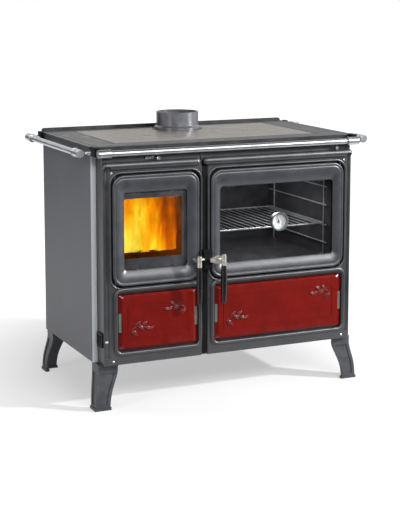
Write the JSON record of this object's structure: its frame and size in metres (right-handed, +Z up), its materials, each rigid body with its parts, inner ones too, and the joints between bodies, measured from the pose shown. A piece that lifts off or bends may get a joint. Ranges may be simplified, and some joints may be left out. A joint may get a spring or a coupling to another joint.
{
  "type": "wood-burning cooking stove",
  "caption": "Free-standing wood-burning cooker on sabre legs: iron front with a glazed fire door and oven door over two tiled drawers, ring hob, rear flue collar and chrome hand rails",
  "frame": {"origin": "centre of the bounding box on the floor plane", "axes": "+X right along the front (longest extent), +Y to the wall behind, +Z up; the front faces -Y"},
  "size_m": [1.065, 0.6206, 0.918],
  "materials": {
    "enamel_grey": "satin grey stove paint on folded sheet",
    "steel_sheet": "plain sheet steel",
    "oven_steel": "smooth oven sheet",
    "iron_casting": "charcoal stove paint on fine cast grain",
    "iron_top": "blackened cast iron",
    "iron_hob": "ground cast iron",
    "screw_steel": "plain steel",
    "chrome": "polished chrome plate",
    "lever_steel": "blackened steel",
    "grip_black": "glossy black phenolic",
    "knob_steel": "turned and plated",
    "brushed_case": "turned steel",
    "dial_face": "pale printed dial",
    "needle_black": "black paint",
    "lens_glass": "clear flat glass",
    "door_glass": "clear heat-proof ceramic glass",
    "seal_rope": "braided glass-fibre rope",
    "firebrick": "buff refractory brick",
    "red_glaze": "deep glossy red glaze",
    "clip_grey": "grey-green paint"
  },
  "bodies": {
    "body": {"side_panel_left": "enamel_grey", "side_panel_right": "enamel_grey", "base_panel": "steel_sheet", "back_panel": "steel_sheet", "front_casting_left": "iron_casting", "front_casting_right": "iron_casting", "door_keeper": "iron_casting", "casting_screws": "screw_steel", "air_inlet_plate": "iron_casting", "top_frame": "iron_top", "hob_plate": "iron_hob", "flue_collar": "iron_top", "leg_front_left": "iron_casting", "leg_front_right": "iron_casting", "leg_rear_left": "iron_casting", "leg_rear_right": "iron_casting", "front_rail": "chrome", "left_rail": "chrome", "right_rail": "chrome", "rail_sleeves": "chrome", "rail_brackets": "iron_casting", "firebox_casing": "iron_casting", "firebrick_lining": "firebrick", "fire_grate": "iron_top", "oven_liner": "oven_steel", "rack_guides": "chrome", "drawer_runners": "steel_sheet"},
    "fire_door": {"fire_door_frame": "iron_casting", "fire_door_glass": "door_glass", "fire_door_seal": "seal_rope", "fire_glass_clips": "screw_steel"},
    "oven_door": {"oven_door_frame": "iron_casting", "oven_door_glass": "door_glass", "oven_door_seal": "seal_rope", "oven_glass_clips": "screw_steel", "thermometer_case": "brushed_case", "thermometer_dial": "dial_face", "thermometer_lens": "lens_glass"},
    "needle": {"thermometer_needle": "needle_black"},
    "fire_handle": {"fire_handle_lever": "lever_steel", "fire_handle_grip": "grip_black"},
    "oven_handle": {"oven_handle_lever": "lever_steel", "oven_handle_grip": "grip_black"},
    "ash_drawer": {"ash_drawer_box": "steel_sheet", "ash_drawer_tile": "red_glaze", "ash_tile_clips": "clip_grey"},
    "wood_drawer": {"wood_drawer_box": "steel_sheet", "wood_drawer_tile": "red_glaze", "wood_tile_clips": "clip_grey"},
    "rack": {"oven_rack": "chrome"},
    "left_ring_outer": {"left_outer_ring": "iron_hob"},
    "left_ring_inner": {"left_inner_ring": "iron_hob"},
    "left_lid": {"left_ring_lid": "iron_hob"},
    "right_ring_outer": {"right_outer_ring": "iron_hob"},
    "right_ring_inner": {"right_inner_ring": "iron_hob"},
    "right_lid": {"right_ring_lid": "iron_hob"},
    "secondary_air": {"secondary_air_knob": "knob_steel"},
    "damper": {"damper_rod": "knob_steel"},
    "primary_air": {"primary_air_knob": "knob_steel"}
  },
  "joints": [
    {"name": "fire_door_hinge", "type": "hinge", "parent": "body", "child": "fire_door", "pos_m": [-0.4125, -0.25375, 0.586], "axis": [0, 0, -1], "range_deg": [0, 95]},
    {"name": "oven_door_hinge", "type": "hinge", "parent": "body", "child": "oven_door", "pos_m": [0.4125, -0.25375, 0.586], "axis": [0, 0, 1], "range_deg": [0, 95]},
    {"name": "fire_handle_turn", "type": "hinge", "parent": "fire_door", "child": "fire_handle", "pos_m": [-0.139, -0.25175, 0.472], "axis": [0, 1, 0], "range_deg": [0, 60]},
    {"name": "oven_handle_turn", "type": "hinge", "parent": "oven_door", "child": "oven_handle", "pos_m": [-0.0545, -0.25175, 0.472], "axis": [0, -1, 0], "range_deg": [0, 60]},
    {"name": "thermometer_needle_turn", "type": "hinge", "parent": "oven_door", "child": "needle", "pos_m": [0.1725, -0.26375, 0.57925], "axis": [0, 1, 0], "range_deg": [-110, 150]},
    {"name": "ash_drawer_slide", "type": "slide", "parent": "body", "child": "ash_drawer", "axis": [0, -1, 0], "range_m": [0, 0.42]},
    {"name": "wood_drawer_slide", "type": "slide", "parent": "body", "child": "wood_drawer", "axis": [0, -1, 0], "range_m": [0, 0.42]},
    {"name": "oven_rack_slide", "type": "slide", "parent": "body", "child": "rack", "axis": [0, -1, 0], "range_m": [0, 0.03]},
    {"name": "left_outer_ring_lift", "type": "slide", "parent": "body", "child": "left_ring_outer", "axis": [0, 0, 1], "range_m": [0, 0.08]},
    {"name": "left_inner_ring_lift", "type": "slide", "parent": "left_ring_outer", "child": "left_ring_inner", "axis": [0, 0, 1], "range_m": [0, 0.08]},
    {"name": "left_lid_lift", "type": "slide", "parent": "left_ring_inner", "child": "left_lid", "axis": [0, 0, 1], "range_m": [0, 0.08]},
    {"name": "right_outer_ring_lift", "type": "slide", "parent": "body", "child": "right_ring_outer", "axis": [0, 0, 1], "range_m": [0, 0.08]},
    {"name": "right_inner_ring_lift", "type": "slide", "parent": "right_ring_outer", "child": "right_ring_inner", "axis": [0, 0, 1], "range_m": [0, 0.08]},
    {"name": "right_lid_lift", "type": "slide", "parent": "right_ring_inner", "child": "right_lid", "axis": [0, 0, 1], "range_m": [0, 0.08]},
    {"name": "secondary_air_slide", "type": "slide", "parent": "body", "child": "secondary_air", "axis": [-1, 0, 0], "range_m": [0, 0.038]},
    {"name": "damper_slide", "type": "slide", "parent": "body", "child": "damper", "axis": [0, -1, 0], "range_m": [0, 0.04]},
    {"name": "primary_air_slide", "type": "slide", "parent": "body", "child": "primary_air", "axis": [0, -1, 0], "range_m": [0, 0.02]}
  ]
}
